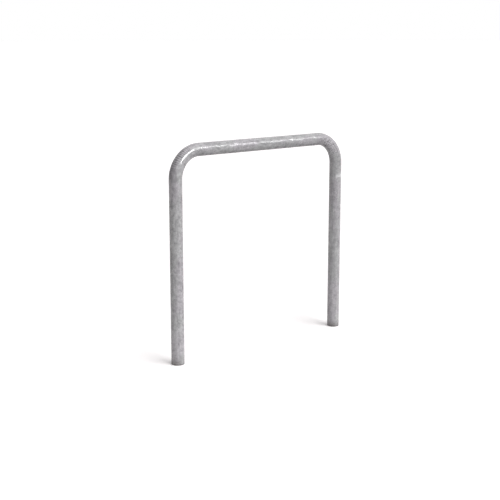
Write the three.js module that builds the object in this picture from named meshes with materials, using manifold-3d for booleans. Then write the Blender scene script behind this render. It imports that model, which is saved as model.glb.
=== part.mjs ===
// Hoop bike rack: one galvanised steel tube bent twice into an upside-down U, set in the ground.
// Each leg runs on below the paving as a root, with a loose anchor rod through a cross hole near its end.
// Millimetres, +Z up. The origin is at paving level, midway between the legs. X runs along the rail.

import * as THREE from 'three';
import { mergeVertices } from 'three/addons/utils/BufferGeometryUtils.js';
import Module from 'manifold-3d';

const wasm = await Module();
wasm.setup();

// Driving dimensions of the hoop
const tubeDiameter = 48.3; // a standard one and a half inch steel tube
const tubeWall = 3.2;
const legSpacing = 780; // centre to centre
const heightAbovePaving = 800; // to the top of the rail
const bendRadius = 100; // to the tube's centreline
const rootDepth = 300; // from the paving down to the leg's cut end

// Driving dimensions of the anchor rods
const rodDiameter = 12;
const rodLength = 160;
const rodChamfer = 1;
const rodClearance = 0.3; // between the rod and its cross hole, all round
const rodHeight = 60; // from the leg's cut end up to the rod's axis

const cutOverrun = 5; // how far a cutting tool runs past the tube

// Fineness of the surfaces, in counts
const tubeSides = 40;
const bendSteps = 16;
const rodSides = 24;

const zinc = new THREE.MeshStandardMaterial({ color: 0xa9a9aa, roughness: 0.45, metalness: 0.85 });
const rodZinc = new THREE.MeshStandardMaterial({ color: 0x9b9c9d, roughness: 0.55, metalness: 0.85 });

// The tube's centreline from the left root up, over and down to the right root, in the XZ plane.
// Its parameter counts rings: one step along each straight stretch and bendSteps round each bend.
class HoopLine extends THREE.Curve {
  constructor() {
    super();
    const railHeight = heightAbovePaving - tubeDiameter / 2;
    this.bendHeight = railHeight - bendRadius;
    this.bendReach = legSpacing / 2 - bendRadius;
    this.steps = bendSteps * 2 + 3;
  }

  getUtoTmapping(u) {
    return u;
  }

  getPoint(t, target = new THREE.Vector3()) {
    const ring = t * this.steps;
    const mirrored = ring > this.steps / 2;
    const fromEnd = mirrored ? this.steps - ring : ring;
    const side = mirrored ? 1 : -1;
    let reach = legSpacing / 2;
    let height = THREE.MathUtils.lerp(-rootDepth, this.bendHeight, fromEnd);
    if (fromEnd > bendSteps + 1) {
      const railShare = (fromEnd - bendSteps - 1) * 2;
      reach = THREE.MathUtils.lerp(this.bendReach, 0, railShare);
      height = this.bendHeight + bendRadius;
    } else if (fromEnd > 1) {
      const turn = ((fromEnd - 1) / bendSteps) * (Math.PI / 2);
      reach = this.bendReach + bendRadius * Math.cos(turn);
      height = this.bendHeight + bendRadius * Math.sin(turn);
    }
    return target.set(side * reach, 0, height);
  }
}

// A closed solid from a geometry, for cutting
function solidOf(geometry) {
  const bare = geometry.clone();
  bare.deleteAttribute('normal');
  bare.deleteAttribute('uv');
  const merged = mergeVertices(bare);
  return new wasm.Manifold(new wasm.Mesh({
    numProp: 3,
    vertProperties: new Float32Array(merged.attributes.position.array),
    triVerts: new Uint32Array(merged.index.array),
  }));
}

// A geometry from a solid
function geometryOf(solid) {
  const mesh = solid.getMesh();
  const geometry = new THREE.BufferGeometry();
  geometry.setAttribute('position', new THREE.BufferAttribute(mesh.vertProperties, mesh.numProp));
  geometry.setIndex(new THREE.BufferAttribute(mesh.triVerts, 1));
  geometry.computeVertexNormals();
  return geometry;
}

// The tube's wall, a ring carried along the centreline
function bentTube() {
  const ring = new THREE.Shape();
  ring.absarc(0, 0, tubeDiameter / 2, 0, Math.PI * 2);
  const bore = new THREE.Path();
  bore.absarc(0, 0, tubeDiameter / 2 - tubeWall, 0, Math.PI * 2, true);
  ring.holes.push(bore);
  const line = new HoopLine();
  return new THREE.ExtrudeGeometry(ring, {
    steps: line.steps,
    curveSegments: tubeSides / 2,
    extrudePath: line,
  });
}

// The drill that makes a leg's cross hole, along Y
function crossHole(side) {
  const radius = rodDiameter / 2 + rodClearance;
  const length = tubeDiameter + cutOverrun * 2;
  const drill = new THREE.CylinderGeometry(radius, radius, length, rodSides);
  drill.translate(side * legSpacing / 2, 0, rodHeight - rootDepth);
  return solidOf(drill);
}

function hoopTube() {
  const drilled = solidOf(bentTube()).subtract(crossHole(-1)).subtract(crossHole(1));
  const mesh = new THREE.Mesh(geometryOf(drilled), zinc);
  mesh.name = 'hoop_tube';
  return mesh;
}

// A round bar along Y with a small chamfer at both cut ends
function anchorRod(name, side) {
  const radius = rodDiameter / 2;
  const end = rodLength / 2;
  const profile = [
    new THREE.Vector2(0, -end),
    new THREE.Vector2(radius - rodChamfer, -end),
    new THREE.Vector2(radius, -end + rodChamfer),
    new THREE.Vector2(radius, end - rodChamfer),
    new THREE.Vector2(radius - rodChamfer, end),
    new THREE.Vector2(0, end),
  ];
  const mesh = new THREE.Mesh(new THREE.LatheGeometry(profile, rodSides), rodZinc);
  mesh.name = name;
  mesh.position.set(side * legSpacing / 2, 0, rodHeight - rootDepth);
  return mesh;
}

const rack = new THREE.Group();
rack.name = 'hoop_bike_rack';
rack.add(hoopTube());
rack.add(anchorRod('left_anchor_rod', -1));
rack.add(anchorRod('right_anchor_rod', 1));

export default rack;
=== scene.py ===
"""A hoop bike rack of bent galvanised tube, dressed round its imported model.

Metres, +Z up, with the origin at paving level midway between the legs. The hoop stands along X, and its front
is towards -Y.
"""
import math

import bpy
import numpy as np
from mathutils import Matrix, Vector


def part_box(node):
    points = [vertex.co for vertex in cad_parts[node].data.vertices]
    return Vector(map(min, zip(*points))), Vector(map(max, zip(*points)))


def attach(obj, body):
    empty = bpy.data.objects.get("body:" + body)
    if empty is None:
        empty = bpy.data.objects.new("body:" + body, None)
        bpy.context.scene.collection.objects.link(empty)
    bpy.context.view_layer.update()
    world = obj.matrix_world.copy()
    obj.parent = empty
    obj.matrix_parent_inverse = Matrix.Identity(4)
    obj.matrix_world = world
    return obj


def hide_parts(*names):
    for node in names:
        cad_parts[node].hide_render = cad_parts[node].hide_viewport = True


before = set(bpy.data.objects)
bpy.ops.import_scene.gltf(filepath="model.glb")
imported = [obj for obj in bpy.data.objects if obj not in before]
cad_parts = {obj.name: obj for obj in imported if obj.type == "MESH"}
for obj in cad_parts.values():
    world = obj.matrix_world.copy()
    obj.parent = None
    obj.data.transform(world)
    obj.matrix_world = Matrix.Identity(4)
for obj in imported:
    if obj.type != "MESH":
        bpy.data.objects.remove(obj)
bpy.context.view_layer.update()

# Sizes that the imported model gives
TUBE_LOW, TUBE_HIGH = (np.array(corner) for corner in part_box("hoop_tube"))
ROD_LOW, ROD_HIGH = (np.array(corner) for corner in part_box("right_anchor_rod"))
TUBE_RADIUS = (TUBE_HIGH[1] - TUBE_LOW[1]) / 2
LEG_REACH = TUBE_HIGH[0] - TUBE_RADIUS
RAIL_HEIGHT = TUBE_HIGH[2] - TUBE_RADIUS
ROOT_END = TUBE_LOW[2]
ROD_RADIUS = (ROD_HIGH[2] - ROD_LOW[2]) / 2
ROD_LENGTH = ROD_HIGH[1] - ROD_LOW[1]
ROD_HEIGHT = (ROD_HIGH[2] + ROD_LOW[2]) / 2

# Sizes of the tube and the rods that a box can't give
BEND_RADIUS = 0.100
WALL = 0.0032
BORE_RADIUS = TUBE_RADIUS - WALL
CUT_EDGE_RADIUS = 0.0006
HOLE_PLAY = 0.0003
HOLE_RADIUS = ROD_RADIUS + HOLE_PLAY
ROD_EDGE_RADIUS = 0.0009
ROD_END_DOME = 0.0004

# Distances along the centreline from the left leg's cut end
LEG_RUN = RAIL_HEIGHT - BEND_RADIUS - ROOT_END
BEND_RUN = BEND_RADIUS * math.pi / 2
HALF_RUN = LEG_RUN + BEND_RUN + LEG_REACH - BEND_RADIUS
FULL_RUN = HALF_RUN * 2
RIGHT_LEG_RUN = FULL_RUN - LEG_RUN
HOLE_RUN = ROD_HEIGHT - ROOT_END
PAVING_RUN = -ROOT_END

# Fineness of the tube's surface: points round it, cells from the middle of a hole to its edge, the hole's
# radii over which the grid eases back, steps along the tube, how much longer they are in the bore, and the
# points of a rounded edge
COLUMNS = 96
HOLE_CELLS = 4
HOLE_EASE = 2.5
STRAIGHT_STEP = 0.006
BEND_STEP = 0.0035
BEAD_STEP = 0.0015
BORE_COARSER = 2.2
CUT_EDGE_POINTS = 5

# Fineness of the rods' surfaces
ROD_COLUMNS = 40
ROD_STEP = 0.004
ROD_FACE_POINTS = 7
ROD_RIM_POINTS = 6

# The zinc skin's slow waves
SKIN_WAVE = 0.00009
SKIN_WAVELENGTH = 0.030
WAVELENGTH_SPREAD = (0.7, 1.4)
WAVE_REACH = 2.5
TUBE_WAVES = 40
TUBE_SEED = 3
ROD_WAVES = 20
ROD_SEED = 5

# The rest of the tube's skin: a bead at the cut ends, the weld line, and the bends' flats and ripples. All of
# it is sunk a little, and it fades out at the cut edges and round the cross holes
SKIN_SUNK = 0.00009
HOLE_CLEARING = 0.015
BEAD_HEIGHT = 0.00025
BEAD_UNEVENNESS = 0.5
BEAD_RUN = 0.0045
BEAD_WIDTH = 0.0035
WELD_ANGLE = math.radians(-100)
WELD_WIDTH = 0.0011
WELD_HEIGHT = 0.00012
BEND_FLAT = 0.0004
BEND_RIPPLE = 0.00012
BEND_RIPPLE_LENGTH = 0.013

# Thin lines of zinc that ran down as the hoop left the bath: where, angle from the outer side, half length,
# half width and height. Each sways by a small angle on its way and tapers over a share of its half length
ZINC_RUNS = [
    (PAVING_RUN + 0.16, math.radians(70), 0.10, 0.0022, 0.00014),
    (PAVING_RUN + 0.47, math.radians(128), 0.14, 0.0018, 0.00012),
    (PAVING_RUN + 0.30, math.radians(-60), 0.12, 0.0024, 0.00015),
    (HALF_RUN - 0.10, math.radians(150), 0.09, 0.0022, 0.00014),
    (FULL_RUN - PAVING_RUN - 0.22, math.radians(105), 0.12, 0.0020, 0.00013),
    (FULL_RUN - PAVING_RUN - 0.50, math.radians(35), 0.13, 0.0022, 0.00014),
    (FULL_RUN - PAVING_RUN - 0.35, math.radians(-120), 0.10, 0.0022, 0.00014),
]
ZINC_RUN_SWAY = 0.05
ZINC_RUN_SWAY_RATE = 19
ZINC_RUN_TAPER = 0.5

# Places that differ, each from one distance along the centreline to another, with a ramp inside either end.
# The left bend is dull at its foot, rubbed smooth above that and has a painted sheen, a paler tone, at its top.
# The right bend has painted light, a paler tone, on its inner side and is rough
RUBBED_RAMP = 0.004
RUBBED = (LEG_RUN + BEND_RUN * 0.37, LEG_RUN + BEND_RUN * 0.81, RUBBED_RAMP)
DULL_FOOT = (LEG_RUN - 0.010, RUBBED[0] + RUBBED_RAMP, 0.012)
PAINTED_SHEEN_TOP = (LEG_RUN + BEND_RUN * 0.62, LEG_RUN + BEND_RUN * 1.15, 0.020)
PAINTED_LIGHT_INSIDE = (RIGHT_LEG_RUN - BEND_RUN * 0.90, RIGHT_LEG_RUN - BEND_RUN * 0.08, 0.025)
ROUGH = (RIGHT_LEG_RUN - BEND_RUN * 1.05, RIGHT_LEG_RUN - BEND_RUN * 0.20, 0.025)

# How places change round the tube, each by its level at the front and back and what the outer side adds. The
# painted shade under the rail and the painted light and sheen on the bends spread this way
OUTER_SIDE = (0.0, 1.0)
INNER_SIDE = (0.0, -1.0)
PAINTED_UNDERSIDE_SHADE_ROUND = (0.7, -1.4)
PAINTED_SHEEN_TOP_ROUND = (0.5, 1.0)
PAINTED_LIGHT_INSIDE_ROUND = (0.1, -2.0)
DULL_ROUND = (1.0, 1.0)

# How steeply the painted shade on the bends' outer side comes to an end up the bends
PAINTED_BEND_SHADE_SLOPE = 2.4

# How far each place moves the polish, and how much of the bumps' height is left where it is rubbed
RUBBED_POLISH = 0.60
RUBBED_HEIGHT = 0.35
DULL_DULLING = 0.50
PAINTED_LIGHT_DULLING = 0.05
ROUGH_DULLING = 0.30

# How strong the zinc's lumps are on the left leg, in the middle of the rail and on the right leg, and how
# strongly the right bend's wall shows its stretch beside the left one's
LUMPINESS = (1.5, 1.1, 0.6)
RIGHT_STRETCH = 0.5

# The zinc's patterns by their sizes across the bar and along it, and how many times finer the fine noise is
PATTERNS = {
    "clouds": (0.022, 0.034),
    "lumps": (0.009, 0.012),
    "streaks": (0.007, 0.055),
    "grain": (0.004, 0.005),
    "tint": (0.060, 0.110),
}
FINE_NOISE = 6.0

# The zinc's crystals: their sizes, the noise that pushes their borders about, the smaller ones mixed in with
# them, and their ribs
TUBE_CRYSTAL = 0.012
ROD_CRYSTAL = 0.006
CRYSTAL_WARP = 1.6
CRYSTAL_WARP_RATE = 1.1
SMALL_CRYSTALS = 2.6
SMALL_CRYSTALS_SHARE = 0.35
CRYSTAL_RIBS = 40.0

# The zinc finishes. A share says how far a layer moves the tone or the height, which counts in millimetres.
# The roughness and the metal share go from the dullest places to the glossiest
TUBE_FINISH = {
    "dark": (0.177, 0.169, 0.179),
    "light": (0.632, 0.618, 0.634),
    # Of the tones, the darkening on the bends' outer side and under the rail is painted shade, and the paler
    # tone at the left bend's top, on the right bend's inner side and in the speckles there is painted light
    "tones": {
        "crystals": 0.26, "clouds": 0.29, "lumps": 0.60, "streaks": 0.48, "grain": 0.24, "ribs": 0.03,
        "wrinkles": 0.62, "painted_bend_shade": 0.65, "painted_light": 0.25, "speckles_and_painted_light": 0.72, "mark": 0.62, "painted_underside_shade": 0.28,
    },
    "heights": {
        "clouds": 1.50, "lumps": 0.85, "crystals": 0.04, "streaks": 0.20, "grain": 0.06, "wrinkles": 0.05,
    },
    "roughness": (0.60, 0.14),
    "metal": (0.00, 0.24),
}
ROD_FINISH = {
    "dark": (0.230, 0.230, 0.236),
    "light": (0.430, 0.432, 0.440),
    "tones": {"crystals": 0.25, "clouds": 0.80, "streaks": 0.60, "grain": 0.50},
    "heights": {"clouds": 0.20, "crystals": 0.02, "streaks": 0.05, "grain": 0.08},
    "roughness": (0.66, 0.42),
    "metal": (0.25, 0.55),
}

# What all the zinc shares: the layers of its gloss, the spans of gloss over which the roughness and the metal
# share change, and its tints
MILLIMETRE = 0.001
ZINC_SPECULAR = 0.3
ZINC_GLOSS = {"gloss": 0.9, "clouds": 0.4}
ROUGHNESS_SPAN = (-0.5, 1.0)
METAL_SPAN = (-0.2, 1.0)
TINT_WARM = (1.000, 0.987, 1.007)
TINT_COOL = (0.980, 1.002, 0.986)
TINT_SPAN = (0.42, 0.58)

# The value at which a layer moves nothing. A layer made by a mask of the mesh has it where the mask is zero,
# and where the mask is one it has the value given here
NEUTRAL = 0.5
# These masks paint shade on the bends' outer side and under the rail, and paint light and sheen on the bends
MASK_LAYERS = {"painted_bend_shade": 0.0, "painted_light": 1.0, "painted_underside_shade": 0.25}

# Crosswise streaks round the bends: their spacing, how far noise of some size pushes them about, and the
# stretch over which they come in
WRINKLE_LENGTH = 0.0066
WRINKLE_WANDER = 7.0
WRINKLE_PATCH = (0.030, 0.009)
WRINKLE_STRETCH = (0.20, 0.80)

# Speckles of the rough bend, paler on its inner side as painted light. Two ramps go by the distance outwards
# from the tube's middle, each with its start and end and the values there. The span is that of the noise, from
# no dot to the palest
SPECKLE_SIZE = (0.0038, 0.0038)
SPECKLE_FADE = (0.000, 0.018, 1.0, 0.0)
SPECKLE_PAINTED_LIGHT = (-0.0235, -0.006, 1.72, 1.05)
SPECKLE_SPAN = (0.41, 0.59)

# The pale mark of a clamp on the right leg: where, its slow rise and sharp end along the leg, and its side
MARK_RUN = RIGHT_LEG_RUN + 0.054
MARK_RISE = (-0.030, 0.0)
MARK_RISE_POWER = 4.0
MARK_END = (0.0015, 0.0035, 1.0, 0.0)
MARK_SIDE = (-0.016, -0.010)

# Painted shade at the feet: a darker, browner tone that fades upwards, patchy and strongest towards -X, the
# shaded side, and a broken dark line of painted contact shade at the ground
FOOT_SHADE = (0.182, 0.168, 0.164)
FOOT_SHADE_HEIGHT = 0.034
FOOT_SHADE_PATCHES = (0.35, 0.60, 0.5, 1.0)
FOOT_SHADE_SIDE = (-0.7, 0.2, 1.0, 0.25)
CONTACT_SHADE = (0.122, 0.118, 0.119)
GROUND_LINE = (0.0018, 0.009, 1.0, 0.0)
GROUND_PATCH = (0.0075, 0.0085)
GROUND_PATCHES = (0.46, 0.56, 0.00, 0.70)

# Stage
FLOOR_SIZE = 400.0
FLOOR_NEAR_GREY = 0.50
FLOOR_FAR_GREY = 0.04
FLOOR_NEAR_RADIUS = 0.12
FLOOR_FAR_RADIUS = 0.70
FLOOR_WHITE = (1.41, 1.376, 1.380)
BACKDROP_LEVEL = 1.0
SKY_LEVEL = 0.41
SKY_SLOPE = (-0.08, -0.36, 0.0)
SKY_LEAST = 0.44
KEY_WIDTH = 13.0
# Each disc of the key's row by its heading to the right of the front, its height in degrees and its power
KEY_ROW = [
    (-7.0, 17.0, 0.32), (-1.0, 25.0, 0.38), (9.0, 27.0, 0.44),
    (20.0, 27.0, 0.47), (32.0, 27.0, 0.38), (44.0, 27.0, 0.26), (56.0, 28.0, 0.14),
]

# Camera
CAMERA_PLACE = (-2.3806, -2.8508, 1.1698)
CAMERA_HEADING = -39.25
CAMERA_DIP = 10.71
CAMERA_SENSOR = 36.0
CAMERA_LENS = 71.63
CAMERA_SHIFT = -0.05


def carried(run, around, radius):
    """Points of the bent tube from its straight measures.

    run is the distance along the centreline from the left leg's cut end, around the angle from the hoop's
    outer side towards its front, radius the distance from the centreline. The line climbs a leg, goes through
    a quarter turn about the bend's centre and follows the rail to the middle, and the other half mirrors it.
    """
    side = np.where(run < HALF_RUN, -1.0, 1.0)
    from_end = np.minimum(run, FULL_RUN - run)
    turn = np.clip((from_end - LEG_RUN) / BEND_RADIUS, 0, math.pi / 2)
    along_rail = np.clip(from_end - LEG_RUN - BEND_RUN, 0, None)
    swing = BEND_RADIUS + radius * np.cos(around)
    reach = LEG_REACH - BEND_RADIUS + swing * np.cos(turn) - along_rail
    height = ROOT_END + np.minimum(from_end, LEG_RUN) + swing * np.sin(turn)
    return np.stack([side * reach, -radius * np.sin(around), height], axis=-1)


def straight(run, around, radius):
    """The same points on the tube before it is bent: a plain cylinder along Z that starts at zero."""
    return np.stack([radius * np.cos(around), -radius * np.sin(around), run], axis=-1)


def waves(points, wavelength, count, seed):
    """A smooth wavy field from -1 to 1.

    Plane cosine waves with seeded directions, lengths and phases are added up. The sum is divided by a few
    times its usual spread, which is the root of half the number of waves, and cut off at -1 and 1.
    """
    dice = np.random.default_rng(seed)
    directions = dice.normal(size=(count, 3))
    directions /= np.linalg.norm(directions, axis=1, keepdims=True)
    lengths = wavelength * dice.uniform(*WAVELENGTH_SPREAD, size=(count, 1))
    phases = dice.uniform(0, 2 * math.pi, size=count)
    field = np.cos(points @ (directions * 2 * math.pi / lengths).T + phases)
    return np.clip(field.sum(axis=-1) * math.sqrt(2 / count) / WAVE_REACH, -1, 1)


def hump(distance, width):
    """A bell curve of height one: exp(-(distance / width) squared)."""
    return np.exp(-(distance / width) ** 2)


def angle_between(around, angle):
    """The signed angle from one direction to another, the short way round."""
    return np.angle(np.exp(1j * (around - angle)))


def between(run, start, end, ramp):
    """One between two distances and zero beyond them, with straight ramps of the given length inside."""
    return np.clip(np.minimum(run - start, end - run) / ramp, 0, 1)


def towards(around, level, slope):
    """A level plus a slope times the cosine of the angle from the tube's outer side, kept from 0 to 1."""
    return np.clip(level + slope * np.cos(around), 0, 1)


def strain(run):
    """How strongly the tube is bent: the root of a half sine over each bend, zero elsewhere."""
    from_end = np.minimum(run, FULL_RUN - run)
    in_bend = np.clip((from_end - LEG_RUN) / BEND_RUN, 0, 1)
    return np.sqrt(np.abs(np.sin(in_bend * math.pi)))


def turned(run):
    """How far the tube has turned from the leg towards the rail, as an angle."""
    return np.clip((np.minimum(run, FULL_RUN - run) - LEG_RUN) / BEND_RADIUS, 0, math.pi / 2)


def stretch(run, around):
    """How far the wall is stretched, from minus one on a bend's inner side to one on its outer side.

    It is the fourth power of the strain times the cosine of the angle round the tube, and less on the right.
    """
    return strain(run) ** 4 * np.cos(around) * np.where(run < HALF_RUN, 1.0, RIGHT_STRETCH)


def painted_underside_shade(run, around):
    """How much painted shade a place gets under the rail, from zero to one.

    It is the sixth power of the turn's sine, times a ramp in the angle's cosine from one under the rail to
    zero on top.
    """
    return np.sin(turned(run)) ** 6 * towards(around, *PAINTED_UNDERSIDE_SHADE_ROUND)


def painted_bend_shade(run, around):
    """How much painted shade the outer side of the bends' lower half gets, from zero to one.

    It is the strain, times the fourth power of the angle's cosine and a ramp in the turn's cosine.
    """
    lower_half = np.clip(np.cos(turned(run)) * PAINTED_BEND_SHADE_SLOPE - 1, 0, 1)
    return strain(run) * towards(around, *OUTER_SIDE) ** 4 * lower_half


def lumpiness(run):
    """How strong the zinc's lumps are: even on each leg, with straight lines to the rail's middle."""
    return np.interp(run, [LEG_RUN, HALF_RUN, RIGHT_LEG_RUN], LUMPINESS)


def wear(run, around):
    """How far each place has painted light, is rough, and is more or less polished than the rest.

    The left bend is dull at its foot, rubbed smooth above that, and has a painted sheen of paler tone at its
    top, but not on its inner side. The right bend has painted light on its inner side, is rough all round, and
    duller but for that side.
    Each is one between two distances, times a ramp in the angle's cosine where it doesn't go all round.
    """
    rubbed = between(run, *RUBBED)
    dull = between(run, *DULL_FOOT)
    painted_light = between(run, *PAINTED_SHEEN_TOP) * towards(around, *PAINTED_SHEEN_TOP_ROUND)
    painted_light += between(run, *PAINTED_LIGHT_INSIDE) * towards(around, *PAINTED_LIGHT_INSIDE_ROUND)
    rough = between(run, *ROUGH)
    dulled = DULL_DULLING * dull + ROUGH_DULLING * rough * towards(around, *DULL_ROUND)
    return {"painted_light": painted_light, "rough": rough, "polish": RUBBED_POLISH * rubbed - PAINTED_LIGHT_DULLING * painted_light - dulled}


def relief(run, around):
    """How far the zinc stands off the true round, in metres.

    Slow waves, thin runs that sway as they go down, a bead near the cut ends, the tube's weld line, a slight
    flat on the outer side of each bend and shallow ripples on its inner side are added up. The sum is then
    cut off at the plane that touches the tube's outer side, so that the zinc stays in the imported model's box.
    """
    from_end = np.minimum(run, FULL_RUN - run)
    plain = straight(run, around, TUBE_RADIUS)
    field = SKIN_WAVE * waves(plain, SKIN_WAVELENGTH, TUBE_WAVES, TUBE_SEED)
    for at, angle, length, width, height in ZINC_RUNS:
        taper = np.clip((length - np.abs(run - at)) / (length * ZINC_RUN_TAPER), 0, 1)
        sway = ZINC_RUN_SWAY * np.sin((run - at) * ZINC_RUN_SWAY_RATE)
        field += height * taper * hump(angle_between(around, angle - sway) * TUBE_RADIUS, width)
    uneven = 1 + BEAD_UNEVENNESS * np.sin(around * 3 + 1) * np.cos(around * 2)
    field += BEAD_HEIGHT * uneven * hump(from_end - BEAD_RUN, BEAD_WIDTH)
    field += WELD_HEIGHT * hump(angle_between(around, WELD_ANGLE) * TUBE_RADIUS, WELD_WIDTH)
    field -= BEND_FLAT * strain(run) * towards(around, *OUTER_SIDE) ** 4
    ripple = np.cos((from_end - LEG_RUN) * 2 * math.pi / BEND_RIPPLE_LENGTH)
    field += BEND_RIPPLE * strain(run) * ripple * towards(around, *INNER_SIDE) ** 3
    plane = TUBE_RADIUS / np.clip(np.cos(around), 0.9, 1) - TUBE_RADIUS
    return np.minimum(field - SKIN_SUNK, plane)


def stations(coarser):
    """Distances along the wall at which it has a ring of points.

    Steps are even between two stops: the edge, the bead's end, either side of the cross hole, either end of
    the bend and the rail's middle. The other half mirrors them.
    """
    ease = HOLE_RADIUS * HOLE_EASE
    hole_rows = 2 * round(HOLE_CELLS * HOLE_EASE)
    bead_end = BEAD_RUN + BEAD_WIDTH * 2
    bend_end = LEG_RUN + BEND_RUN
    stops = [CUT_EDGE_RADIUS, bead_end, HOLE_RUN - ease, HOLE_RUN + ease, LEG_RUN, bend_end, HALF_RUN]
    steps = [BEAD_STEP, STRAIGHT_STEP, None, STRAIGHT_STEP, BEND_STEP, STRAIGHT_STEP]
    rows = []
    for start, end, step in zip(stops, stops[1:], steps):
        count = hole_rows if step is None else math.ceil((end - start) / step / coarser)
        rows.append(np.linspace(start, end, count, endpoint=False))
    half = np.concatenate(rows)
    return np.concatenate([half, [HALF_RUN], (FULL_RUN - half)[::-1]])


def wall_profile():
    """The outline of the wall's lengthwise section as run and radius, a closed loop.

    It goes along the outside, round the far cut end's two rounded edges, back along the bore and round the
    near end. Returned with them are the row numbers of each root's cross hole, outside and in the bore, and
    the number of rows outside.
    """
    quarter = np.linspace(0, math.pi / 2, CUT_EDGE_POINTS)
    outside, bore = stations(1.0), stations(BORE_COARSER)[::-1]
    edge = CUT_EDGE_RADIUS
    end_run = edge * np.concatenate([np.sin(quarter[1:]), np.cos(quarter[:-1])])
    end_radius = np.concatenate([
        TUBE_RADIUS - edge + edge * np.cos(quarter[1:]),
        BORE_RADIUS + edge - edge * np.sin(quarter[:-1]),
    ])
    run = np.concatenate([outside, FULL_RUN - edge + end_run, bore, (edge - end_run)[::-1]])
    radius = np.concatenate([
        np.full(len(outside), TUBE_RADIUS), end_radius,
        np.full(len(bore), BORE_RADIUS), end_radius[::-1],
    ])
    first_bore = len(outside) + len(end_run)
    holes = [
        (int(np.abs(outside - at).argmin()), first_bore + int(np.abs(bore - at).argmin()))
        for at in (HOLE_RUN, FULL_RUN - HOLE_RUN)
    ]
    return run, radius, holes, len(outside)


def rod_profile():
    """The outline of a rod as radius and distance along its axis, without the middles of its two ends.

    It runs out over the slightly domed sawn face, round the rim's quarter circle, along the side and back
    the same way.
    """
    end, edge = ROD_LENGTH / 2, ROD_EDGE_RADIUS
    out = np.linspace(0, 1, ROD_FACE_POINTS)[1:-1]
    quarter = np.linspace(0, math.pi / 2, ROD_RIM_POINTS)
    rim_along = -end + ROD_END_DOME + edge - edge * np.cos(quarter)
    first = rim_along[-1]
    side_along = np.linspace(first, 0, math.ceil(-first / ROD_STEP), endpoint=False)[1:]
    half_radius = np.concatenate([
        (ROD_RADIUS - edge) * out,
        ROD_RADIUS - edge + edge * np.sin(quarter),
        np.full(len(side_along), ROD_RADIUS),
    ])
    half_along = np.concatenate([-end + ROD_END_DOME * out ** 2, rim_along, side_along])
    radius = np.concatenate([half_radius, [ROD_RADIUS], half_radius[::-1]])
    along = np.concatenate([half_along, [0], -half_along[::-1]])
    return radius, along


def round_grid(columns, *profile):
    """Grids of a profile's values and of the angle round the bar, a row for each point of the profile."""
    angles = np.arange(columns) * 2 * math.pi / columns
    grids = [np.repeat(values[:, None], columns, axis=1) for values in profile]
    return *grids, np.repeat(angles[None, :], len(profile[0]), axis=0)


def grid_quads(rows, columns):
    """Corner numbers of the cells of a grid that closes on itself both ways, facing outwards."""
    numbers = np.arange(rows * columns).reshape(rows, columns)
    beside, beyond = np.roll(numbers, -1, axis=1), np.roll(numbers, -1, axis=0)
    return np.stack([numbers, beside, np.roll(beyond, -1, axis=1), beyond], axis=-1)


def eased_round_hole(run, around, radius, row, column):
    """Moves the grid round one hole in one wall, so that the square of cells at the hole gets a round edge.

    A point's ring number is its larger distance in cells from the centre, in halves of the square's side.
    Ring one goes onto the drilled circle, where the radius times the sine of the angle and the run together
    make the hole's radius, and the rings outside it ease back to their places.
    """
    reach = round(HOLE_CELLS * HOLE_EASE)
    rows = np.arange(row - reach, row + reach + 1)[:, None]
    columns = np.arange(column - reach, column + reach + 1)[None, :]
    down, across = np.broadcast_arrays(rows - row, columns - column)
    ring = np.maximum(np.abs(down), np.abs(across)) / HOLE_CELLS
    columns = columns % COLUMNS
    centre_run, centre_angle = run[row, column], around[row, column]
    direction = np.arctan2(down * np.sign(run[row + 1, column] - centre_run), across)
    share = np.clip((ring - 1) / (HOLE_EASE - 1), 0, 1)
    share = share * share * (3 - 2 * share)
    circle_run = centre_run + HOLE_RADIUS * np.sin(direction)
    circle_angle = np.arcsin(HOLE_RADIUS * np.cos(direction) / radius)
    even_angle = across * 2 * math.pi / COLUMNS
    around[rows, columns] = centre_angle + circle_angle * (1 - share) + even_angle * share
    run[rows, columns] = circle_run * (1 - share) + run[rows, columns] * share


def hole_edge(row, column, way):
    """Numbers of the points round a hole's edge, in order, starting along its first row.

    way is 1 outside and -1 in the bore, where the rows go the other way.
    """
    n = HOLE_CELLS
    line = np.arange(-n, n)
    down = np.concatenate([np.full(2 * n, -n), line, np.full(2 * n, n), -line])
    across = np.concatenate([line, np.full(2 * n, n), -line, np.full(2 * n, -n)])
    return (row + way * down) * COLUMNS + (column + across) % COLUMNS


def drilled(run, around, radius, holes):
    """Corner numbers of the wall's cells with its cross holes open, once the grid is moved round each hole.

    A cross hole goes through the wall at the front and at the back, a quarter and three quarters of the way
    round. A band of cells joins its edge outside to its edge in the bore.
    """
    cells, whole = grid_quads(len(run), COLUMNS), np.ones(run.shape, bool)
    bridges = []
    for outer_row, bore_row in holes:
        for column in (COLUMNS // 4, COLUMNS * 3 // 4):
            for row in (outer_row, bore_row):
                eased_round_hole(run, around, radius[row, column], row, column)
                whole[row - HOLE_CELLS:row + HOLE_CELLS, column - HOLE_CELLS:column + HOLE_CELLS] = False
            outer, inner = hole_edge(outer_row, column, 1), hole_edge(bore_row, column, -1)
            bridges.append(np.stack([outer, np.roll(outer, -1), np.roll(inner, -1), inner], axis=-1))
    return np.concatenate([cells[whole], *bridges])


def mesh_piece(name, points, quads, triangles, measures):
    """A smooth mesh object from arrays, with named measures at its points.

    Points that no face uses are left out.
    """
    mesh = bpy.data.meshes.new(name)
    used = np.unique(np.concatenate([quads.ravel(), triangles.ravel()]))
    quads, triangles = (np.searchsorted(used, faces) for faces in (quads, triangles))
    mesh.from_pydata(points[used], [], quads.tolist() + triangles.tolist())
    for label, values in measures.items():
        values = values.reshape(len(points), -1)[used].astype(np.float32)
        single = values.shape[1] == 1
        kept = mesh.attributes.new(label, "FLOAT" if single else "FLOAT_VECTOR", "POINT")
        kept.data.foreach_set("value" if single else "vector", values.ravel())
    mesh.shade_smooth()
    mesh.update()
    piece = bpy.data.objects.new(name, mesh)
    bpy.context.scene.collection.objects.link(piece)
    return piece


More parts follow.
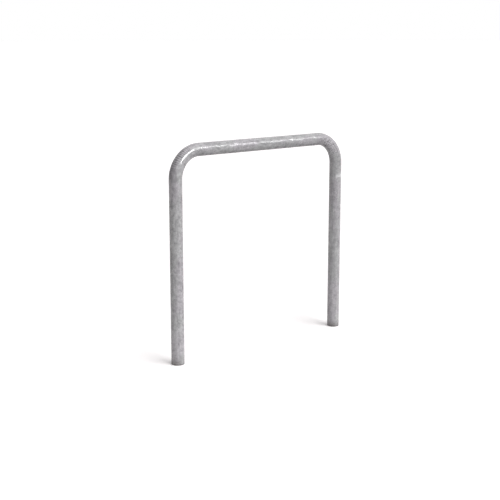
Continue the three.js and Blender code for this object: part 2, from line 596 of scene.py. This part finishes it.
def make_hoop():
    """The galvanised tube.

    The wall's profile is carried along the centreline and round it, with drilled cross holes. The zinc's
    relief is added to the outside and fades out at the cut edges and round the holes.
    """
    run, radius, holes, outside_rows = wall_profile()
    run, radius, around = round_grid(COLUMNS, run, radius)
    quads = drilled(run, around, radius, holes)
    skin = slice(0, outside_rows)
    from_cut = np.clip((np.minimum(run, FULL_RUN - run) - CUT_EDGE_RADIUS) / BEAD_RUN, 0, 1)
    from_hole = np.minimum(np.abs(run - HOLE_RUN), np.abs(FULL_RUN - run - HOLE_RUN))
    radius[skin] += (relief(run, around) * from_cut * (1 - hump(from_hole, HOLE_CLEARING)))[skin]
    # Among the measures are masks of painted shade on the bends' outer side and under the rail, and of painted
    # light and sheen on the bends
    measures = {
        "straight": straight(run, around, radius),
        "stretch": stretch(run, around),
        "painted_underside_shade": painted_underside_shade(run, around),
        "painted_bend_shade": painted_bend_shade(run, around),
        "lumpy": lumpiness(run),
        **wear(run, around),
    }
    points = carried(run, around, radius).reshape(-1, 3)
    hoop = mesh_piece("galvanised_hoop", points, quads, np.empty((0, 3), int), measures)
    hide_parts("hoop_tube")
    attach(hoop, "root")
    hoop.data.materials.append(tube_zinc())


def make_rod(name, node, side, material):
    """An anchor rod: its profile turned about its axis along Y, with a fan of triangles at either end.

    Slow waves of zinc sink the surface by up to the height of a wave.
    """
    radius, along, around = round_grid(ROD_COLUMNS, *rod_profile())
    rows, end = len(radius), ROD_LENGTH / 2
    plain = np.stack([radius * np.cos(around), radius * np.sin(around), along], axis=-1).reshape(-1, 3)
    sunk = waves(plain, SKIN_WAVELENGTH, ROD_WAVES, ROD_SEED + side) - 1
    radius = radius + sunk.reshape(rows, -1) * SKIN_WAVE / 2
    points = np.stack([radius * np.cos(around), along, -radius * np.sin(around)], axis=-1).reshape(-1, 3)
    points = np.concatenate([points, [[0, -end, 0], [0, end, 0]]]) + [side * LEG_REACH, 0, ROD_HEIGHT]
    plain = np.concatenate([plain, [[0, 0, -end], [0, 0, end]]])
    quads = grid_quads(rows, ROD_COLUMNS)[:-1].reshape(-1, 4)
    near_middle, far_middle = rows * ROD_COLUMNS, rows * ROD_COLUMNS + 1
    ring = np.arange(ROD_COLUMNS)
    beside, last_ring = np.roll(ring, -1), near_middle - ROD_COLUMNS
    near_fan = np.stack([np.full(ROD_COLUMNS, near_middle), beside, ring], axis=-1)
    far_fan = np.stack([np.full(ROD_COLUMNS, far_middle), last_ring + ring, last_ring + beside], axis=-1)
    # Each rod has its own stretch of the patterns, a metre to either side of the hoop's
    measures = {"straight": plain + [side, 0, 0]}
    rod = mesh_piece(name, points, quads, np.concatenate([near_fan, far_fan]), measures)
    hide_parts(node)
    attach(rod, "root")
    rod.data.materials.append(material)


def add(tree, kind, inputs=None, **settings):
    """A new node with its settings. An input is a value, or another node's output that is linked to it."""
    node = tree.nodes.new(kind)
    for label, value in settings.items():
        setattr(node, label, value)
    for label, value in (inputs or {}).items():
        if isinstance(value, bpy.types.NodeSocket):
            tree.links.new(value, node.inputs[label])
        else:
            node.inputs[label].default_value = value
    return node


def maths(tree, operation, *values):
    """The result of a Math node."""
    return add(tree, "ShaderNodeMath", dict(enumerate(values)), operation=operation).outputs[0]


def vectors(tree, operation, *values):
    """The result of a Vector Math node."""
    return add(tree, "ShaderNodeVectorMath", dict(enumerate(values)), operation=operation).outputs[0]


def dotted(tree, first, second):
    """The dot product of two vectors."""
    inputs = {0: first, 1: second}
    return add(tree, "ShaderNodeVectorMath", inputs, operation="DOT_PRODUCT").outputs["Value"]


def mixed(tree, factor, first, second, kind="FLOAT", blend="MIX"):
    """The result of a Mix node."""
    inputs = {"Factor": factor, "A": first, "B": second}
    return add(tree, "ShaderNodeMix", inputs, data_type=kind, blend_type=blend).outputs["Result"]


def eased(tree, value, start, end, first=0.0, last=1.0):
    """A value that goes smoothly from first to last while the given one goes from start to end."""
    inputs = {"Value": value, "From Min": start, "From Max": end, "To Min": first, "To Max": last}
    return add(tree, "ShaderNodeMapRange", inputs, interpolation_type="SMOOTHSTEP").outputs["Result"]


def striped(tree, phase):
    """Stripes from zero to one: the sine of a phase, halved and raised by a half."""
    return maths(tree, "MULTIPLY_ADD", maths(tree, "SINE", phase), 0.5, 0.5)


def layered(tree, start, layers, shares):
    """start, moved by each named layer's share of that layer's departure from the neutral value."""
    total = start - NEUTRAL * sum(shares.values())
    for label, share in shares.items():
        total = maths(tree, "MULTIPLY_ADD", layers[label], share, total)
    return total


def measured(tree, label, output="Fac"):
    """One of the measures that the mesh has at its points."""
    return add(tree, "ShaderNodeAttribute", attribute_name=label).outputs[output]


def new_group(name, inputs, outputs):
    """An empty node group with named inputs, each with its kind and usual value, and named outputs."""
    group = bpy.data.node_groups.new(name, "ShaderNodeTree")
    for label, (kind, value) in inputs.items():
        socket = group.interface.new_socket(label, in_out="INPUT", socket_type=kind)
        socket.default_value = value
    for label in outputs:
        group.interface.new_socket(label, in_out="OUTPUT", socket_type="NodeSocketFloat")
    return group, group.nodes.new("NodeGroupInput").outputs, group.nodes.new("NodeGroupOutput").inputs


def make_crystals():
    """Zinc crystals: cells with wavering borders, each with its own tone, gloss and direction of fine ribs.

    The place in units of the crystal's size is pushed about by a slow noise and cut into large and small
    Voronoi cells, whose tones and glosses are mixed. Ribs are a sine along each large cell's direction.
    """
    inputs = {"Place": ("NodeSocketVector", (0, 0, 0)), "Size": ("NodeSocketFloat", TUBE_CRYSTAL)}
    group, given, result = new_group("zinc_crystals", inputs, ("Tone", "Gloss", "Ribs"))
    scale = {0: given["Place"], "Scale": maths(group, "DIVIDE", 1.0, given["Size"])}
    unit = add(group, "ShaderNodeVectorMath", scale, operation="SCALE").outputs[0]
    noise = {"Vector": unit, "Scale": CRYSTAL_WARP_RATE, "Detail": 3.0}
    push = add(group, "ShaderNodeTexNoise", noise).outputs["Color"]
    pushed = vectors(group, "MULTIPLY_ADD", push, (CRYSTAL_WARP,) * 3, unit)
    large_cells = {"Vector": pushed, "Scale": 1.0, "Smoothness": 0.2}
    large = add(group, "ShaderNodeTexVoronoi", large_cells, feature="SMOOTH_F1").outputs["Color"]
    small_cells = {"Vector": pushed, "Scale": SMALL_CRYSTALS}
    small = add(group, "ShaderNodeTexVoronoi", small_cells, feature="F1").outputs["Color"]
    large_parts = add(group, "ShaderNodeSeparateColor", {0: large}).outputs
    small_parts = add(group, "ShaderNodeSeparateColor", {0: small}).outputs
    for number, label in enumerate(("Tone", "Gloss")):
        both = mixed(group, SMALL_CRYSTALS_SHARE, large_parts[number], small_parts[number])
        group.links.new(both, result[label])
    way = vectors(group, "NORMALIZE", vectors(group, "SUBTRACT", large, (0.5, 0.5, 0.5)))
    ribs = striped(group, maths(group, "MULTIPLY", dotted(group, pushed, way), CRYSTAL_RIBS))
    group.links.new(ribs, result["Ribs"])
    return group


def make_soft_noise():
    """Soft noise with a size across the piece and one along it, and with it a finer noise."""
    inputs = {
        "Place": ("NodeSocketVector", (0, 0, 0)),
        "Across": ("NodeSocketFloat", 0.02),
        "Along": ("NodeSocketFloat", 0.02),
    }
    group, given, result = new_group("soft_noise", inputs, ("Value", "Fine"))
    across = maths(group, "DIVIDE", 1.0, given["Across"])
    along = maths(group, "DIVIDE", 1.0, given["Along"])
    scale = add(group, "ShaderNodeCombineXYZ", {0: across, 1: across, 2: along}).outputs[0]
    unit = vectors(group, "MULTIPLY", given["Place"], scale)
    slow = {"Vector": unit, "Scale": 1.0, "Detail": 2.0, "Roughness": 0.55}
    fine = {"Vector": unit, "Scale": FINE_NOISE, "Detail": 2.0, "Roughness": 0.6}
    group.links.new(add(group, "ShaderNodeTexNoise", slow).outputs[0], result["Value"])
    group.links.new(add(group, "ShaderNodeTexNoise", fine).outputs[0], result["Fine"])
    return group


CRYSTALS = make_crystals()
SOFT_NOISE = make_soft_noise()


def soft_noise(tree, place, size):
    """The outputs of the soft noise group in a material, for a size across the bar and one along it."""
    inputs = {"Place": place, "Across": size[0], "Along": size[1]}
    return add(tree, "ShaderNodeGroup", inputs, node_tree=SOFT_NOISE).outputs


def new_material(name):
    """A new material and its node tree."""
    material = bpy.data.materials.new(name)
    material.use_nodes = True
    return material, material.node_tree


def zinc_layers(tree, crystal_size):
    """The layers that all galvanised pieces share, by name, and the place on the straight bar."""
    place = measured(tree, "straight", "Vector")
    inputs = {"Place": place, "Size": crystal_size}
    crystals = add(tree, "ShaderNodeGroup", inputs, node_tree=CRYSTALS).outputs
    layers = {"crystals": crystals["Tone"], "gloss": crystals["Gloss"], "ribs": crystals["Ribs"]}
    for label, size in PATTERNS.items():
        layers[label] = soft_noise(tree, place, size)["Fine" if label == "grain" else "Value"]
    return layers, place


def zinc_shader(tree, layers, finish, polish=0.0):
    """Sets the shader of a galvanised piece from its layers, all but its base colour, which is returned.

    polish is a value or a mask: above zero the zinc is glossier and its bumps are lower, below zero it is
    duller.
    """
    shader = tree.nodes["Principled BSDF"]
    shader.inputs["Specular IOR Level"].default_value = ZINC_SPECULAR
    height = layered(tree, 0.0, layers, finish["heights"])
    height = maths(tree, "MULTIPLY", height, eased(tree, polish, 0.0, RUBBED_POLISH, 1.0, RUBBED_HEIGHT))
    bump = add(tree, "ShaderNodeBump", {"Height": height, "Distance": MILLIMETRE})
    tree.links.new(bump.outputs["Normal"], shader.inputs["Normal"])
    smooth = maths(tree, "ADD", layered(tree, 0.5, layers, ZINC_GLOSS), polish)
    roughness = eased(tree, smooth, *ROUGHNESS_SPAN, *finish["roughness"])
    tree.links.new(roughness, shader.inputs["Roughness"])
    tree.links.new(eased(tree, smooth, *METAL_SPAN, *finish["metal"]), shader.inputs["Metallic"])
    tone = layered(tree, 0.5, layers, finish["tones"])
    colour = mixed(tree, tone, (*finish["dark"], 1), (*finish["light"], 1), "RGBA")
    warmth = eased(tree, layers["tint"], *TINT_SPAN)
    tint = mixed(tree, warmth, (*TINT_COOL, 1), (*TINT_WARM, 1), "RGBA")
    return mixed(tree, 1.0, colour, tint, "RGBA", "MULTIPLY")


def wrinkles(tree, place, along):
    """Crosswise streaks where a bend strains the wall: a sine along the tube, pushed about by noise."""
    wander = maths(tree, "MULTIPLY", soft_noise(tree, place, WRINKLE_PATCH)["Value"], WRINKLE_WANDER)
    phase = maths(tree, "MULTIPLY_ADD", along, 2 * math.pi / WRINKLE_LENGTH, wander)
    bent = eased(tree, maths(tree, "ABSOLUTE", measured(tree, "stretch")), *WRINKLE_STRETCH)
    return mixed(tree, bent, NEUTRAL, striped(tree, phase))


def speckles_and_painted_light(tree, place, outwards):
    """Fine dots where the tube is rough, fading out on its outer side, and paler on its inner side as painted
    light.
    """
    seen = maths(tree, "MULTIPLY", measured(tree, "rough"), eased(tree, outwards, *SPECKLE_FADE))
    painted_lift = eased(tree, outwards, *SPECKLE_PAINTED_LIGHT)
    dots = soft_noise(tree, place, SPECKLE_SIZE)["Value"]
    return mixed(tree, seen, NEUTRAL, eased(tree, dots, *SPECKLE_SPAN, 0.0, painted_lift))


def clamp_mark(tree, outwards, along):
    """A clamp's pale mark. It comes in slowly down the leg, ends sharply and isn't on the inner side."""
    past_mark = maths(tree, "SUBTRACT", along, MARK_RUN)
    rise = maths(tree, "POWER", eased(tree, past_mark, *MARK_RISE), MARK_RISE_POWER)
    mark = maths(tree, "MULTIPLY", rise, eased(tree, past_mark, *MARK_END))
    mark = maths(tree, "MULTIPLY", mark, eased(tree, outwards, *MARK_SIDE))
    return maths(tree, "ADD", mark, NEUTRAL)


def painted_foot_shade(tree, colour, lumps, place):
    """The base colour with painted shade at the feet and a dark line of painted contact shade at the ground, by
    the distance from it.
    """
    spot = add(tree, "ShaderNodeTexCoord").outputs["Object"]
    height = maths(tree, "ABSOLUTE", add(tree, "ShaderNodeSeparateXYZ", {0: spot}).outputs["Z"])
    facing = add(tree, "ShaderNodeNewGeometry").outputs["Normal"]
    side = add(tree, "ShaderNodeSeparateXYZ", {0: facing}).outputs["X"]
    shade_at_feet = eased(tree, height, 0.0, FOOT_SHADE_HEIGHT, 1.0, 0.0)
    shade_at_feet = maths(tree, "MULTIPLY", shade_at_feet, eased(tree, lumps, *FOOT_SHADE_PATCHES))
    shade_at_feet = maths(tree, "MULTIPLY", shade_at_feet, eased(tree, side, *FOOT_SHADE_SIDE))
    patches = soft_noise(tree, place, GROUND_PATCH)["Value"]
    line = eased(tree, height, *GROUND_LINE)
    line = maths(tree, "MULTIPLY", line, eased(tree, patches, *GROUND_PATCHES))
    colour = mixed(tree, shade_at_feet, colour, (*FOOT_SHADE, 1), "RGBA")
    return mixed(tree, line, colour, (*CONTACT_SHADE, 1), "RGBA")


def tube_zinc():
    """The hoop's zinc: mottled crystals and lengthwise streaks, marked by bending and wear, with painted shade,
    painted light and painted contact shade at the feet.
    """
    material, tree = new_material("tube_zinc")
    layers, place = zinc_layers(tree, TUBE_CRYSTAL)
    parts = add(tree, "ShaderNodeSeparateXYZ", {0: place}).outputs
    outwards, along = parts["X"], parts["Z"]
    lumps = maths(tree, "SUBTRACT", layers["lumps"], NEUTRAL)
    layers["lumps"] = maths(tree, "MULTIPLY_ADD", lumps, measured(tree, "lumpy"), NEUTRAL)
    layers["wrinkles"] = wrinkles(tree, place, along)
    layers["speckles_and_painted_light"] = speckles_and_painted_light(tree, place, outwards)
    layers["mark"] = clamp_mark(tree, outwards, along)
    # The masks below paint shade on the bends' outer side and under the rail, and paint light and sheen on the
    # bends
    for label, full in MASK_LAYERS.items():
        layers[label] = eased(tree, measured(tree, label), 0.0, 1.0, NEUTRAL, full)
    colour = zinc_shader(tree, layers, TUBE_FINISH, measured(tree, "polish"))
    colour = painted_foot_shade(tree, colour, layers["lumps"], place)
    tree.links.new(colour, tree.nodes["Principled BSDF"].inputs["Base Color"])
    return material


def rod_zinc():
    """The anchor rods' zinc: duller, darker and more even, with small crystals and lengthwise streaks."""
    material, tree = new_material("rod_zinc")
    layers, _ = zinc_layers(tree, ROD_CRYSTAL)
    colour = zinc_shader(tree, layers, ROD_FINISH)
    tree.links.new(colour, tree.nodes["Principled BSDF"].inputs["Base Color"])
    return material


def seen_directly(tree):
    """One where a camera, a mirror reflection or a view through glass looks, and zero for soft light."""
    path = add(tree, "ShaderNodeLightPath").outputs
    either = maths(tree, "MAXIMUM", path["Is Camera Ray"], path["Is Glossy Ray"])
    return maths(tree, "MAXIMUM", either, path["Is Transmission Ray"])


def make_floor():
    """A wide white floor at paving level, which hides the buried roots and keeps the hoop's shadow.

    Soft light finds it pale near the feet and dark farther off, so that little light comes up from it.
    """
    bpy.ops.mesh.primitive_plane_add(size=FLOOR_SIZE)
    floor = bpy.context.object
    floor.name = "floor"
    material, tree = new_material("floor_white")
    tree.nodes.remove(tree.nodes["Principled BSDF"])
    place = vectors(tree, "ABSOLUTE", add(tree, "ShaderNodeTexCoord").outputs["Object"])
    inputs = {0: place, 1: (LEG_REACH, 0, 0)}
    away = add(tree, "ShaderNodeVectorMath", inputs, operation="DISTANCE").outputs["Value"]
    grey = eased(tree, away, FLOOR_NEAR_RADIUS, FLOOR_FAR_RADIUS, FLOOR_NEAR_GREY, FLOOR_FAR_GREY)
    colour = mixed(tree, seen_directly(tree), grey, (*FLOOR_WHITE, 1), "RGBA")
    matt = add(tree, "ShaderNodeBsdfDiffuse", {"Color": colour})
    tree.links.new(matt.outputs["BSDF"], tree.nodes["Material Output"].inputs["Surface"])
    floor.data.materials.append(material)


def make_world():
    """A white backdrop where it is seen, and for soft light a sky that is brighter in front than behind."""
    world = bpy.data.worlds.new("studio")
    bpy.context.scene.world = world
    world.use_nodes = True
    tree = world.node_tree
    slope = dotted(tree, add(tree, "ShaderNodeTexCoord").outputs["Generated"], SKY_SLOPE)
    level = maths(tree, "MAXIMUM", maths(tree, "ADD", slope, SKY_LEVEL), SKY_LEAST)
    background = tree.nodes["Background"]
    strength = mixed(tree, seen_directly(tree), level, BACKDROP_LEVEL)
    tree.links.new(strength, background.inputs["Strength"])
    background.inputs["Color"].default_value = (1, 1, 1, 1)


def make_key():
    """The soft key light in front and to the right: discs side by side, as a wide low soft box would be."""
    for heading, height, power in KEY_ROW:
        lamp = bpy.data.lights.new("key", "SUN")
        lamp.angle = math.radians(KEY_WIDTH)
        lamp.energy = power
        key = bpy.data.objects.new("key", lamp)
        key.rotation_euler = (math.radians(90 - height), 0, math.radians(heading))
        bpy.context.scene.collection.objects.link(key)


def make_camera():
    """The camera at the photograph's place, heading and framing."""
    camera = bpy.data.objects.new("camera", bpy.data.cameras.new("camera"))
    camera.location = CAMERA_PLACE
    camera.rotation_euler = (math.radians(90 - CAMERA_DIP), 0, math.radians(CAMERA_HEADING))
    camera.data.sensor_width = CAMERA_SENSOR
    camera.data.lens = CAMERA_LENS
    camera.data.shift_y = CAMERA_SHIFT
    bpy.context.scene.collection.objects.link(camera)
    bpy.context.scene.camera = camera


make_hoop()
rod_finish = rod_zinc()
make_rod("left_galvanised_rod", "left_anchor_rod", -1, rod_finish)
make_rod("right_galvanised_rod", "right_anchor_rod", 1, rod_finish)
make_floor()
make_world()
make_key()
make_camera()
bpy.context.scene.view_settings.view_transform = "Standard"
